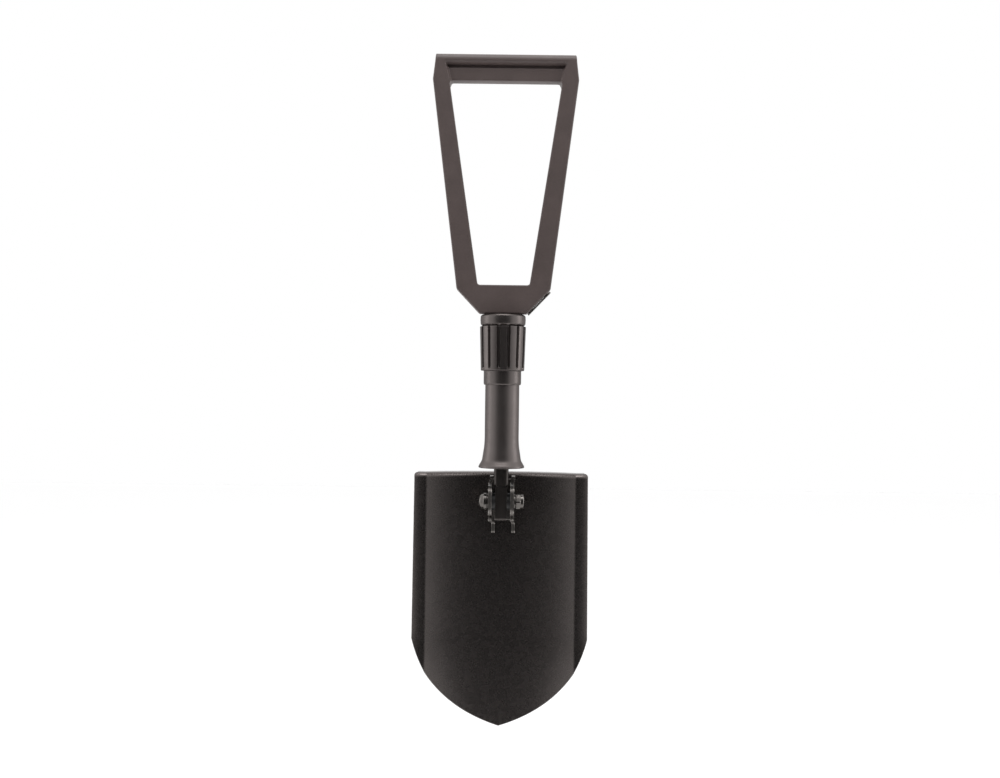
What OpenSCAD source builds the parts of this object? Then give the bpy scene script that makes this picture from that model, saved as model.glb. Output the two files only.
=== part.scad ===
// Tri-fold camp shovel, opened out for digging.
// The shaft stands along Z. The blade hangs below it and the D-handle stands above it.
// The concave digging face looks along -Y. The origin is the middle of the bare tube.

/* [Blade] */
// Height of the blade, from its tip to its step
blade_h = 229; // [222:1:236]
// Width of the blade at its step
blade_top_w = 155; // [153:0.5:157]
// Width of the dished middle
dish_w = 134; // [130:0.5:138]
// Depth of the dish below the flat wings
dish_depth = 14; // [13.5:0.1:14.5]
// Thickness of the blade's sheet
sheet_t = 2.2; // [1.8:0.1:2.6]
// How far the foot step reaches back
step_d = 14; // [10:0.5:18]
// Radius of each side of the point
point_r = 116.7; // [115:0.1:118]

/* [Shaft] */
// Outside diameter of the tube
tube_d = 30; // [29.6:0.1:30.2]
// Wall of the tube
tube_wall = 1.8; // [1.6:0.1:1.8]
// Width of the bar inside the tube
bar_w = 12.9; // [12:0.1:13]
// Thickness of that bar, front to back
bar_t = 12; // [11:0.1:12]
// Height of the handle's hinge above the middle of the bare tube
handle_pivot_z = 94.2; // [94:0.1:96]
// Height of the blade's hinge, below the same point
blade_pivot_z = -83.4; // [-85:0.1:-83]

/* [Lock collar] */
// Number of flutes round the collar
flutes = 14; // [8:1:18]
// Radius of one flute
flute_r = 1.5; // [1:0.1:1.8]

/* [Handle] */
// Thickness of the handle, front to back
handle_t = 18; // [16:0.5:18]
// Width of the grip, over its ends
grip_w = 122.2; // [120:0.2:124]
// Height of the grip bar
grip_h = 24; // [23:0.1:25]
// Rounding of the handle's outer edges
edge_r = 1.6; // [1:0.2:4]

/* [Hidden] */
$fn = 96;

seat_gap = 0.02;                    // between pieces that are fixed together
run_gap = 0.06;                     // radial clearance of pieces that turn or slide

// Blade
step_above_pivot = 24;
blade_tip_z = blade_pivot_z + step_above_pivot - blade_h;
wing_y = 10;                        // front of the wings, behind the shaft's axis
dish_y = wing_y + dish_depth;       // front of the dish's middle
dish_r = (pow(dish_w / 2, 2) + pow(dish_depth, 2)) / (2 * dish_depth);
dish_half_angle = asin(dish_w / 2 / dish_r);
dish_axis_y = dish_y - dish_r;
bend_r = 5;                         // front of the bend between blade and step
wing_bend_r = 4.4;
shoulder_z = 81;                    // where the sides turn into the point, above the tip
point_x = 34.1;                     // centres of the point's two sides
point_z = sqrt(pow(point_r, 2) - pow(point_x, 2));
shoulder_x = sqrt(pow(point_r, 2) - pow(point_z - shoulder_z, 2)) - point_x;
corner_r = 2.6;
crease_lap = 0.4;                   // the wings run this far into the dish

// Blade hinge
eye_w = 10;                         // width of the tongue at the bar's lower end
eye_end = 16.7;                     // how far it runs below the hinge
ear_in = 8.2;                       // inner face of each ear
ear_t = 3;
ear_out = ear_in + ear_t;
ear_reach = 12.6;                   // front edge of the ears round the bolt
ear_round = [-12.4, 14.5];          // lower and upper ends of that front edge
ear_front = 9.8;                    // front edge of the ears above and below that
ear_top = 21;
web_t = 3.2;
web_reach = 19.2;
tail_front = 19;                    // front edge of the tails
tail_end = 30.8;
bolt_r = 4;
washer_t = 1.4;
washer_end = ear_out + 2 * seat_gap + washer_t;
head_r = 7.25;
head_end = 20.5;
nut_af = 13;
nut_h = 4.8;
nut_end = washer_end + seat_gap + nut_h;
rim_h = 2.6;                        // round end of the nut, round its insert
thread_end = nut_end + rim_h;
rivet_r = 2.5;
rivet_z = [-8, 10];
plate_t = 2.5;
plate_w = 34;
plate_z = [-34, 16];

// Shaft
tube_r = tube_d / 2;
bore_r = tube_r - tube_wall;
tube_top = 42;
flare_bottom = -53.6;
flare_r = 20.2;
bar_step_z = -70;                   // the bar widens above its lower end
bar_corner = 2.4;
guide_z = [-42, -18];
sleeve_z = [20, 65];

// Collar
collar_bottom = 19;
band_top = 31.5;
cap_bottom = 70.3;
collar_top = 80.6;
band_r = 16.5;
body_low_r = 19.15;
body_top_r = 20.25;
nut_seat_r = 17;
nut_z = [34.6, 68.8];
ring_z = [69.3, 75.3];
ring_r = 14.5;
pin_r = 1.5;
flute_turn = 1.9;                   // turn of one flute from the X axis
bar_hole_r = 9.3;                   // round hole that the bar's corners turn in

// Handle
base_bottom = -13;                  // the rest is measured from the handle's hinge
base_top = 12.1;
base_half = 20.6;
base_side = [41.1, 8.6];
rail_side = [63.9, 191.5];
handle_top = 214.9;
opening_low = 22.8;
opening_high = 49.6;
opening_top = handle_top - grip_h;
swing_r = 13.2;                     // back of the base, round the hinge
swing_half = 21;
pocket_half = bar_w / 2 + 0.2;
pocket_front = -(bar_t / 2 + 0.3);
hinge_pin_r = 3;
bush_r = 4.5;
bush_end = 17;
pin_end = [-24, 27.3];
plate_gap = 0.5;                    // between the chamfer and the retainer
retainer_t = 1.4;
retainer_from = 0.8;
retainer_to = 28.4;
retainer_w = 12;
screw_at = [4.6, 24.4];
screw_r = 1.4;
screw_l = 6;

// ---------------------------------------------------------------- helpers

function unit(v) = v / norm(v);
function flat(p) = [p[0], p[1]];
// Half of the angle between the sides that run from corner b to a and c
function half_corner(a, b, c) = acos(unit(a - b) * unit(c - b)) / 2;
function fillet_centre(a, b, c, r) =
  b + unit(unit(a - b) + unit(c - b)) * r / sin(half_corner(a, b, c));
function fillet_reach(a, b, c, r) = r / tan(half_corner(a, b, c));

// Convex polygon whose points are [x, y, corner radius]
module round_poly(points) {
  n = len(points);
  difference() {
    polygon([for (p = points) flat(p)]);
    for (i = [0:n - 1]) if (points[i][2] > 0) corner_waste(points, i);
  }
  for (i = [0:n - 1]) if (points[i][2] > 0) translate(corner_centre(points, i)) circle(r = points[i][2]);
}

function corner_centre(points, i) =
  let (n = len(points))
  fillet_centre(flat(points[(i + n - 1) % n]), flat(points[i]), flat(points[(i + 1) % n]), points[i][2]);

// Sharp corner that a fillet's circle replaces
module corner_waste(points, i) {
  n = len(points);
  a = flat(points[(i + n - 1) % n]);
  b = flat(points[i]);
  c = flat(points[(i + 1) % n]);
  reach = fillet_reach(a, b, c, points[i][2]);
  centre = corner_centre(points, i);
  polygon([b + unit(a - b) * reach, b + (b - centre), b + unit(c - b) * reach, centre]);
}

module round_rect(w, d, r) {
  square([w - 2 * r, d], center = true);
  square([w, d - 2 * r], center = true);
  for (x = [-1, 1], y = [-1, 1]) translate([x * (w / 2 - r), y * (d / 2 - r)]) circle(r = r);
}

// Extrudes a (y, z) profile along X, from x0 to x1
module along_x(x0, x1) {
  translate([x0, 0, 0]) rotate([90, 0, 90]) linear_extrude(x1 - x0) children();
}

// Extrudes an (x, z) outline along Y, from y0 to y1
module along_y(y0, y1) {
  translate([0, y1, 0]) rotate([90, 0, 0]) linear_extrude(y1 - y0) children();
}

module rod_x(x0, x1, r) {
  translate([x0, 0, 0]) rotate([0, 90, 0]) cylinder(h = x1 - x0, r = r);
}

module tube_x(x0, x1, r_out, r_in) {
  difference() {
    rod_x(x0, x1, r_out);
    rod_x(x0 - 1, x1 + 1, r_in);
  }
}

module rod_y(y0, y1, r) {
  translate([0, y0, 0]) rotate([-90, 0, 0]) cylinder(h = y1 - y0, r = r);
}

module at_blade_hinge() { translate([0, 0, blade_pivot_z]) children(); }
module at_handle_hinge() { translate([0, 0, handle_pivot_z]) children(); }
module both_sides() {
  children();
  mirror([1, 0, 0]) children();
}

// Hole that keeps a sliding piece square on the bar
module bar_hole() { round_rect(bar_w + 2 * run_gap, bar_t + 2 * run_gap, bar_corner); }

// ---------------------------------------------------------------- blade

// Outline seen from the front, with its tip at the origin
module blade_outline() {
  intersection() {
    translate([-point_x, point_z]) circle(r = point_r);
    translate([point_x, point_z]) circle(r = point_r);
    translate([-point_r, -1]) square([2 * point_r, shoulder_z + 1]);
  }
  round_poly([
    [shoulder_x, shoulder_z, 0], [blade_top_w / 2, blade_h, corner_r],
    [-blade_top_w / 2, blade_h, corner_r], [-shoulder_x, shoulder_z, 0]
  ]);
}

// Sheet seen from the side, bent back with radius r: x is measured back from its front face
module sheet_profile(r) {
  polygon(concat(
    [[0, -1]], bend(r, r), [[step_d, blade_h], [step_d, blade_h - sheet_t]],
    reverse(bend(r, r - sheet_t)), [[sheet_t, -1]]
  ));
}

// Points round a bend between blade and step, from the blade up
function bend(centre, r) = [for (a = [180:-15:90]) [centre + r * cos(a), blade_h - centre + r * sin(a)]];
function reverse(list) = [for (i = [len(list) - 1:-1:0]) list[i]];

module blade() {
  color([0.16, 0.15, 0.15]) difference() {
    translate([0, 0, blade_tip_z]) intersection() {
      along_y(0, 60) blade_outline();
      union() {
        translate([0, dish_axis_y, 0]) rotate([0, 0, 90 - dish_half_angle])
          rotate_extrude(angle = 2 * dish_half_angle, $fn = 360) translate([dish_r, 0])
            sheet_profile(bend_r);
        both_sides() translate([0, wing_y, 0]) along_x(dish_w / 2 - crease_lap, shoulder_x + 2)
          sheet_profile(wing_bend_r);
      }
    }
    at_blade_hinge() for (z = rivet_z) translate([0, 0, z]) rod_y(dish_y - 5, dish_y + 10, rivet_r + seat_gap);
  }
}

// Plate behind the blade that the rivets pull against
module back_plate() {
  inner = dish_r + sheet_t + seat_gap;
  color([0.2, 0.2, 0.2]) at_blade_hinge() difference() {
    intersection() {
      translate([0, dish_axis_y, plate_z[0]]) difference() {
        cylinder(h = plate_z[1] - plate_z[0], r = inner + plate_t, $fn = 360);
        translate([0, 0, -1]) cylinder(h = plate_z[1] - plate_z[0] + 2, r = inner, $fn = 360);
      }
      along_y(0, 60) translate([0, (plate_z[0] + plate_z[1]) / 2])
        round_rect(plate_w, plate_z[1] - plate_z[0], 6);
    }
    for (z = rivet_z) translate([0, 0, z]) rod_y(dish_y - 5, dish_y + 10, rivet_r + seat_gap);
  }
}

// One ear from the side, with the hinge at the origin
module ear_profile() {
  back = dish_y + 2;
  round_poly([
    [-ear_reach, ear_round[0], 8], [back, ear_round[0], 0], [back, ear_round[1], 0], [-ear_reach, ear_round[1], 8]
  ]);
  round_poly([[ear_front, 0, 0], [back, 0, 0], [back, ear_top, 0], [ear_front, ear_top, 6]]);
  round_poly([
    [ear_front, -web_reach, 2.3], [back, -web_reach, 0], [back, 0, 0], [ear_front, 0, 0]
  ]);
  round_poly([[tail_front, -tail_end, 3], [back, -tail_end, 0], [back, 0, 0], [tail_front, 0, 0]]);
}

module hinge_bracket() {
  web_front = dish_y - web_t;
  color([0.22, 0.21, 0.2]) at_blade_hinge() difference() {
    intersection() {
      union() {
        both_sides() along_x(ear_in, ear_out) ear_profile();
        along_x(-ear_in - 1, ear_in + 1) round_poly([
          [web_front, -web_reach, 2], [dish_y + 2, -web_reach, 0],
          [dish_y + 2, web_reach, 0], [web_front, web_reach, 2]
        ]);
      }
      translate([0, dish_axis_y, -50]) cylinder(h = 100, r = dish_r - seat_gap, $fn = 360);
    }
    rod_x(-20, 20, bolt_r + run_gap);
    for (z = rivet_z) translate([0, 0, z]) rod_y(0, 40, rivet_r + seat_gap);
  }
}

// Domed rivet head whose flat side is at the origin and whose dome faces +Z
module dome(r, h) {
  sphere_r = (r * r + h * h) / (2 * h);
  intersection() {
    translate([0, 0, h - sphere_r]) sphere(r = sphere_r);
    cylinder(h = h + 1, r = r + 1);
  }
}

module bracket_rivets() {
  front = dish_y - web_t - seat_gap;
  back = dish_y + sheet_t + plate_t + 3 * seat_gap;
  color([0.3, 0.29, 0.28]) at_blade_hinge() for (z = rivet_z) translate([0, 0, z]) {
    rod_y(front - 0.1, back + 0.1, rivet_r);
    translate([0, front, 0]) rotate([90, 0, 0]) dome(4.6, 1.8);
    translate([0, back, 0]) rotate([-90, 0, 0]) dome(5.2, 2.4);
  }
}

// ---------------------------------------------------------------- blade hinge

module pivot_bolt() {
  dome_h = 4.2;
  color([0.35, 0.34, 0.33]) at_blade_hinge() {
    rod_x(-washer_end - 1, thread_end, bolt_r);
    rod_x(-head_end + dome_h, -washer_end - seat_gap, head_r);
    translate([-head_end + dome_h, 0, 0]) rotate([0, -90, 0]) dome(head_r, dome_h);
  }
}

module pivot_washers() {
  color([0.4, 0.39, 0.38]) at_blade_hinge() both_sides()
    tube_x(ear_out + seat_gap, washer_end - seat_gap, head_r - 0.6, bolt_r + 0.15);
}

module pivot_spacers() {
  color([0.08, 0.08, 0.08]) at_blade_hinge() both_sides()
    tube_x(eye_w / 2 + 0.1, ear_in - seat_gap, 7.5, bolt_r + 0.1);
}

module pivot_nut() {
  color([0.36, 0.35, 0.34]) at_blade_hinge() difference() {
    union() {
      translate([washer_end, 0, 0]) rotate([0, 90, 0]) rotate([0, 0, 30])
        cylinder(h = nut_h, r = nut_af / 2 / cos(30), $fn = 6);
      rod_x(nut_end - 1, nut_end + rim_h, 6.3);
    }
    rod_x(0, 30, bolt_r + seat_gap);
    rod_x(nut_end - 1, 30, 5);
  }
}

module nut_insert() {
  color([0.7, 0.7, 0.68]) at_blade_hinge()
    tube_x(nut_end - 1 + seat_gap, nut_end + rim_h - 0.3, 5 - seat_gap, bolt_r + seat_gap);
}

// ---------------------------------------------------------------- shaft

// Bar that joins the two hinges and runs through the tube
module inner_bar() {
  color([0.3, 0.29, 0.28]) difference() {
    union() {
      translate([0, 0, bar_step_z]) linear_extrude(handle_pivot_z - 8 - bar_step_z)
        round_rect(bar_w, bar_t, bar_corner);
      at_handle_hinge() along_x(-bar_w / 2, bar_w / 2) {
        circle(r = bar_t / 2);
        translate([-bar_t / 2, -12]) square([bar_t, 12]);
      }
      at_blade_hinge() along_x(-eye_w / 2, eye_w / 2) {
        round_poly([
          [-bar_t / 2, -eye_end, 3], [bar_t / 2, -eye_end, 3], [bar_t / 2, 20, 0], [-bar_t / 2, 20, 0]
        ]);
      }
    }
    at_handle_hinge() rod_x(-20, 20, hinge_pin_r + run_gap);
    at_blade_hinge() rod_x(-20, 20, bolt_r + run_gap);
    translate([0, 0, (ring_z[0] + ring_z[1]) / 2]) rod_x(-20, 20, pin_r + seat_gap);
  }
}

// Ring on the bar that carries the collar's pull
module thrust_ring() {
  color([0.45, 0.44, 0.42]) difference() {
    translate([0, 0, ring_z[0]]) linear_extrude(ring_z[1] - ring_z[0]) difference() {
      circle(r = ring_r);
      round_rect(bar_w + 2 * seat_gap, bar_t + 2 * seat_gap, bar_corner);
    }
    translate([0, 0, (ring_z[0] + ring_z[1]) / 2]) rod_x(-20, 20, pin_r + seat_gap);
  }
}

module thrust_pin() {
  color([0.6, 0.6, 0.6]) translate([0, 0, (ring_z[0] + ring_z[1]) / 2]) rod_x(-14, 14, pin_r);
}

// Flare, from its mouth up to the plain tube: [radius, height above the mouth]
function flare(wall) = [
  [flare_r - wall, 0], [flare_r - wall, 1.2], [19.4 - wall, 2.6], [18.4 - wall, 4.3], [17.2 - wall, 6.8],
  [16.4 - wall, 11.6], [15.8 - wall, 15.6], [15.3 - wall, 19.6], [tube_r - wall, 26]
];

module outer_tube() {
  color([0.26, 0.25, 0.25]) translate([0, 0, flare_bottom]) rotate_extrude() difference() {
    polygon(concat([[0, 0]], flare(0), [[tube_r, tube_top - flare_bottom], [0, tube_top - flare_bottom]]));
    translate([0, -0.001]) polygon(concat([[-1, 0]], flare(tube_wall),
      [[bore_r, tube_top - flare_bottom + 1], [-1, tube_top - flare_bottom + 1]]));
  }
}

// Guide that keeps the bar central in the tube's lower end
module lower_guide() {
  color([0.1, 0.1, 0.1]) translate([0, 0, guide_z[0]]) linear_extrude(guide_z[1] - guide_z[0])
    difference() {
      circle(r = bore_r - seat_gap);
      bar_hole();
    }
}

// Sleeve in the tube's upper end, with the thread that the collar drives
module threaded_sleeve() {
  color([0.55, 0.53, 0.5]) difference() {
    union() {
      translate([0, 0, sleeve_z[0]]) cylinder(h = sleeve_z[1] - sleeve_z[0], r = bore_r - seat_gap);
      translate([0, 0, tube_top + seat_gap])
        cylinder(h = sleeve_z[1] - tube_top - seat_gap, r = tube_r);
    }
    translate([0, 0, sleeve_z[0] - 1]) linear_extrude(sleeve_z[1] - sleeve_z[0] + 2) bar_hole();
  }
}

// ---------------------------------------------------------------- lock collar

// Round-ended rod that stands on the centre of its lower end
module capsule(r, h) {
  rotate_extrude($fn = 32) intersection() {
    union() {
      translate([-r, 0]) square([2 * r, h]);
      circle(r = r);
      translate([0, h]) circle(r = r);
    }
    translate([0, -r]) square([r, h + 2 * r]);
  }
}

module lock_collar() {
  taper = atan((body_top_r - body_low_r) / (cap_bottom - band_top));
  flute_low = 3.2;
  flute_high = cap_bottom - band_top - 1.6;
  color([0.2, 0.19, 0.18]) difference() {
    rotate([0, 0, flute_turn + 180 / flutes]) rotate_extrude() difference() {
      polygon([
        [0, collar_bottom], [band_r - 0.8, collar_bottom], [band_r, collar_bottom + 0.8], [band_r, band_top],
        [body_low_r - 1, band_top], [body_low_r, band_top + 1], [body_top_r, cap_bottom - 0.5],
        [body_top_r - 0.5, cap_bottom], [0, cap_bottom]
      ]);
      translate([-1, collar_bottom - 1]) square([tube_r + run_gap + 1, cap_bottom]);
      translate([-1, band_top + 0.5]) square([nut_seat_r + 1, cap_bottom]);
    }
    for (i = [0:flutes - 1]) rotate([0, 0, flute_turn + i * 360 / flutes])
      translate([body_low_r + 0.35, 0, band_top + flute_low]) rotate([0, taper, 0])
        capsule(flute_r, flute_high - flute_low);
  }
}

module ring_z_between(z0, z1, r_out, r_in) {
  translate([0, 0, z0]) linear_extrude(z1 - z0) difference() {
    circle(r = r_out);
    circle(r = r_in);
  }
}

// Threaded nut pressed into the collar
module collar_nut() {
  color([0.6, 0.5, 0.3]) ring_z_between(nut_z[0], nut_z[1], nut_seat_r - seat_gap, tube_r + run_gap);
}

module wiper_ring() {
  color([0.05, 0.05, 0.05])
    ring_z_between(band_top + 0.55, nut_z[0] - 0.05, nut_seat_r - seat_gap, tube_r + run_gap);
}

// Plain ring that closes the collar over the thrust ring
module collar_cap() {
  color([0.2, 0.19, 0.18]) rotate_extrude() difference() {
    round_poly([
      [0, cap_bottom + seat_gap, 0], [17.8, cap_bottom + seat_gap, 0.8], [19.9, cap_bottom + 4, 3],
      [19.9, collar_top - 2.2, 1.5], [18.6, collar_top, 0.8], [0, collar_top, 0]
    ]);
    translate([-1, cap_bottom - 1]) square([ring_r + run_gap + 1, ring_z[1] + 0.1 - cap_bottom + 1]);
    translate([-1, cap_bottom - 1]) square([bar_hole_r + 1, 20]);
  }
}

// ---------------------------------------------------------------- handle

// Outer corners of the handle, clockwise from the lower left, about the hinge
function handle_corners() = [
  [-base_half, base_bottom], [-base_side[0], base_side[1]], [-rail_side[0], rail_side[1]],
  [-grip_w / 2, handle_top], [grip_w / 2, handle_top], [rail_side[0], rail_side[1]],
  [base_side[0], base_side[1]], [base_half, base_bottom]
];

// Endless slab whose long edge x = 0 is rounded on both faces, in steps of 22.5 degrees
module edge_slab() {
  half = handle_t / 2;
  arc = [for (a = [0:22.5:90]) [edge_r * (1 - sin(a)), half - edge_r * (1 - cos(a))]];
  translate([0, 0, -300]) linear_extrude(600) polygon(concat(
    [[300, half]], arc, [for (i = [len(arc) - 1:-1:0]) [arc[i][0], -arc[i][1]]], [[300, -half]]
  ));
}

// Half space behind one side of the handle
module side_slab(i) {
  corners = handle_corners();
  p = corners[i];
  q = corners[(i + 1) % len(corners)];
  translate([p[0], 0, p[1]]) rotate([0, atan2(q[0] - p[0], q[1] - p[1]), 0]) edge_slab();
}

module handle_block() {
  intersection() {
    side_slab(0);
    side_slab(1);
    side_slab(2);
    side_slab(3);
    side_slab(4);
    side_slab(5);
    side_slab(6);
    side_slab(7);
  }
}

// Oval section of the grip, from two shallow and two tight arcs
module grip_oval() {
  tight_r = 6.5;
  rise = grip_h / 2 - tight_r;
  depth = handle_t / 2;
  shallow_r = (rise * rise + depth * depth - tight_r * tight_r) / (2 * (depth - tight_r));
  offset_y = shallow_r - depth;
  touch_z = rise * shallow_r / (shallow_r - tight_r);
  intersection() {
    translate([-offset_y, 0]) circle(r = shallow_r);
    translate([offset_y, 0]) circle(r = shallow_r);
    square([handle_t + 2, 2 * touch_z], center = true);
  }
  for (z = [-1, 1]) translate([0, z * rise]) circle(r = tight_r);
}

// Frame of the chamfer on the right: X runs up along it and Z stands off it
module on_chamfer() {
  run = base_side - [base_half, base_bottom];
  translate([base_half, 0, base_bottom]) rotate([0, -atan2(run[1], run[0]), 0]) mirror([0, 0, 1]) children();
}

module handle_frame() {
  grip_half = 46;
  color([0.33, 0.3, 0.29]) at_handle_hinge() difference() {
    union() {
      difference() {
        handle_block();
        along_y(-20, 20) round_poly([
          [-opening_low, base_top, 3], [opening_low, base_top, 3],
          [opening_high, opening_top, 4], [-opening_high, opening_top, 4]
        ]);
        translate([-grip_half, -20, opening_top - 1]) cube([2 * grip_half, 40, grip_h + 2]);
      }
      translate([0, 0, handle_top - grip_h / 2]) along_x(-grip_half - 4, grip_half + 4) grip_oval();
    }
    // Room for the collar to swing behind the base
    difference() {
      translate([-swing_half, 0, -30]) cube([2 * swing_half, 30, 30 + base_top + 2]);
      rod_x(-30, 30, swing_r);
    }
    // Pocket for the bar, open below, behind and above
    translate([-pocket_half, pocket_front, -30]) cube([2 * pocket_half, 40, 30 + base_top + 2]);
    rod_x(-bush_end - 0.05, bush_end + 0.05, bush_r + seat_gap);
    rod_x(pin_end[0] - 0.5, 45, hinge_pin_r + 0.05);
    on_chamfer() for (x = screw_at) translate([x, 0, -screw_l - 0.5]) cylinder(h = 20, r = screw_r + seat_gap);
  }
}

module handle_bushes() {
  color([0.55, 0.5, 0.4]) at_handle_hinge() both_sides()
    tube_x(pocket_half + 0.1, bush_end, bush_r, hinge_pin_r + seat_gap);
}

module handle_pin() {
  color([0.6, 0.6, 0.6]) at_handle_hinge() rod_x(pin_end[0], pin_end[1], hinge_pin_r);
}

// Plate that stands off the chamfer on two pads and closes the pin's hole
module pin_retainer() {
  length = retainer_to - retainer_from;
  color([0.12, 0.12, 0.12]) at_handle_hinge() on_chamfer() difference() {
    union() {
      translate([retainer_from + length / 2, 0, plate_gap]) linear_extrude(retainer_t)
        round_rect(length, retainer_w, 2);
      for (x = screw_at) translate([x, 0, seat_gap]) cylinder(h = plate_gap + 0.6, r = 3.2);
    }
    for (x = screw_at) translate([x, 0, -1]) {
      cylinder(h = 20, r = screw_r + seat_gap);
      translate([0, 0, plate_gap + retainer_t - 1.1]) cylinder(h = 3, r1 = screw_r + seat_gap, r2 = 4.4);
    }
  }
}

module retainer_screws() {
  top = plate_gap + retainer_t;
  color([0.45, 0.45, 0.45]) at_handle_hinge() on_chamfer() for (x = screw_at) translate([x, 0, 0]) {
    translate([0, 0, -screw_l]) cylinder(h = screw_l + top - 0.2, r = screw_r);
    translate([0, 0, top - 1.15]) cylinder(h = 1.1, r1 = screw_r, r2 = 2.5);
  }
}

blade();
back_plate();
hinge_bracket();
bracket_rivets();
pivot_bolt();
pivot_washers();
pivot_spacers();
pivot_nut();
nut_insert();
inner_bar();
thrust_ring();
thrust_pin();
outer_tube();
lower_guide();
threaded_sleeve();
lock_collar();
collar_nut();
wiper_ring();
collar_cap();
handle_frame();
handle_bushes();
handle_pin();
pin_retainer();
retainer_screws();
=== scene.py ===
import math

import bmesh
import bpy
from mathutils import Matrix, Vector


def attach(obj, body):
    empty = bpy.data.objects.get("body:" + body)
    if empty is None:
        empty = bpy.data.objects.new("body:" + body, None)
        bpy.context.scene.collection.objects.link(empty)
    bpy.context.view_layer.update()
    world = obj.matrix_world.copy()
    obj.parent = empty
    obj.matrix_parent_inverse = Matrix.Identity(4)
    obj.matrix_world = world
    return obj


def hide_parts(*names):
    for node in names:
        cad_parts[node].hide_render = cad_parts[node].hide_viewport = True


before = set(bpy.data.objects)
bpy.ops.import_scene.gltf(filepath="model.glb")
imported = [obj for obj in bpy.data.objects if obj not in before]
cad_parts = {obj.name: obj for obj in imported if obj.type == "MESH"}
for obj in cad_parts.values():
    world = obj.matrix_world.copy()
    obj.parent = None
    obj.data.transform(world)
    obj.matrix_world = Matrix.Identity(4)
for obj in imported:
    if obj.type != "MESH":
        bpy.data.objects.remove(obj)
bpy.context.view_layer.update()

MM = 0.001
TAU = 2 * math.pi

# ---------------------------------------------------------------- sizes, in mm, in the row's frame

BLADE_PIVOT_Z = -83.4
HANDLE_PIVOT_Z = 94.2

BLADE_TIP_Z = -288.4
BLADE_H = 229.0
BLADE_HALF = 77.5
CREASE_X = 67.0
WING_Y = 10.0
DISH_Y = 24.0
DISH_R = (CREASE_X ** 2 + (DISH_Y - WING_Y) ** 2) / (2 * (DISH_Y - WING_Y))
SHEET = 2.2
POINT_CURL = 2.6                    # how far the point is bent forward, 40 mm from its middle
WING_CURL = 1.7                     # how far the wings curl back, 10 mm out from the crease
STEP_D = 14.0
BEND_R = 5.0
POINT_R = 116.7
POINT_X = 34.1
POINT_Z = math.sqrt(POINT_R ** 2 - POINT_X ** 2)
SHOULDER_Z = 81.0
SHOULDER_X = math.sqrt(POINT_R ** 2 - (POINT_Z - SHOULDER_Z) ** 2) - POINT_X
CORNER_R = 2.6

RUN_GAP = 0.06                      # radial clearance of pieces that turn or slide
SEAT_GAP = 0.02                     # between pieces that are fixed together

BAR_HALF_W = 6.45
BAR_HALF_T = 6.0
PIN_R = 3.0                         # the handle's hinge pin
BUSH_R = 4.5
THRUST_PIN_R = 1.5
THRUST_PIN_Z = 72.3
TUBE_R = 15.0
TUBE_WALL = 1.8
FLARE_BOTTOM = -53.6
TUBE_TOP = 42.0
COLLAR_BOTTOM = 19.0
BAND_TOP = 31.5
CAP_BOTTOM = 70.3
COLLAR_TOP = 80.6
FLUTES = 14
FLUTE_R = 1.5
FLUTE_DEEP = 0.7                    # how much deeper than round the flutes are cut
FLUTE_TURN = math.radians(-36.7)    # one flute's angle from the front, towards +X

HALF_T = 9.0                        # handle's half thickness
HANDLE_TOP = 214.9                  # handle heights are above its hinge
GRIP_H = 24.0
OPENING_TOP = HANDLE_TOP - GRIP_H
BASE_TOP = 12.1
BASE_BOTTOM = -13.0
BASE_HALF = 20.6
BASE_SIDE = (41.1, 8.6)
RAIL_SIDE = (63.9, 191.5)
POCKET = 6.65                       # half width of the slot that the bar's end turns in
POCKET_Y = -6.3
POCKET_EDGE = 0.75
SWING_R = 13.2
SWING_HALF = 21.0

# ---------------------------------------------------------------- mesh helpers, all in mm


def lerp(a, b, t):
    return a + (b - a) * t


def smooth(lo, hi, x):
    t = min(1.0, max(0.0, (x - lo) / (hi - lo)))
    return t * t * (3 - 2 * t)


def rounded(points, step=12):
    """Polygon with its corners rounded; a point is (a, b) or (a, b, radius)."""
    out = []
    for i, p in enumerate(points):
        b = Vector(p[:2])
        if len(p) < 3 or p[2] == 0:
            out.append(b)
            continue
        u = (Vector(points[i - 1][:2]) - b).normalized()
        v = (Vector(points[(i + 1) % len(points)][:2]) - b).normalized()
        half = u.angle(v) / 2
        centre = b + (u + v).normalized() * p[2] / math.sin(half)
        start = b + u * p[2] / math.tan(half) - centre
        end = b + v * p[2] / math.tan(half) - centre
        a0 = math.atan2(start.y, start.x)
        turn = (math.atan2(end.y, end.x) - a0 + math.pi) % TAU - math.pi
        n = max(2, math.ceil(abs(math.degrees(turn)) / step))
        for k in range(n + 1):
            a = a0 + turn * k / n
            out.append(centre + p[2] * Vector((math.cos(a), math.sin(a))))
    return out


def turned(x, y, h, axis):
    return {"z": Vector((x, y, h)), "x": Vector((h, x, y)), "y": Vector((y, h, x))}[axis]


def prism(outline, lo, hi, axis):
    """Solid between two planes; the outline's pairs are the two axes after the given one, in turn."""
    n = len(outline)
    verts = [turned(p[0], p[1], h, axis) for h in (lo, hi) for p in outline]
    faces = [list(range(n))[::-1], list(range(n, 2 * n))]
    faces += [[i, (i + 1) % n, n + (i + 1) % n, n + i] for i in range(n)]
    return verts, faces


def lathe(profile, segments=96, axis="z", at=(0, 0, 0)):
    """Closed loop of (radius, height) points, turned about an axis."""
    verts, rings, faces = [], [], []
    at = Vector(at)
    for r, h in profile:
        if r < 1e-6:
            rings.append([len(verts)] * segments)
            verts.append(turned(0, 0, h, axis) + at)
            continue
        rings.append(list(range(len(verts), len(verts) + segments)))
        for i in range(segments):
            a = TAU * i / segments
            verts.append(turned(r * math.cos(a), r * math.sin(a), h, axis) + at)
    for a, b in zip(rings, rings[1:] + rings[:1]):
        for i in range(segments):
            j = (i + 1) % segments
            face = list(dict.fromkeys([a[i], a[j], b[j], b[i]]))
            if len(face) > 2:
                faces.append(face)
    return verts, faces


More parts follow.
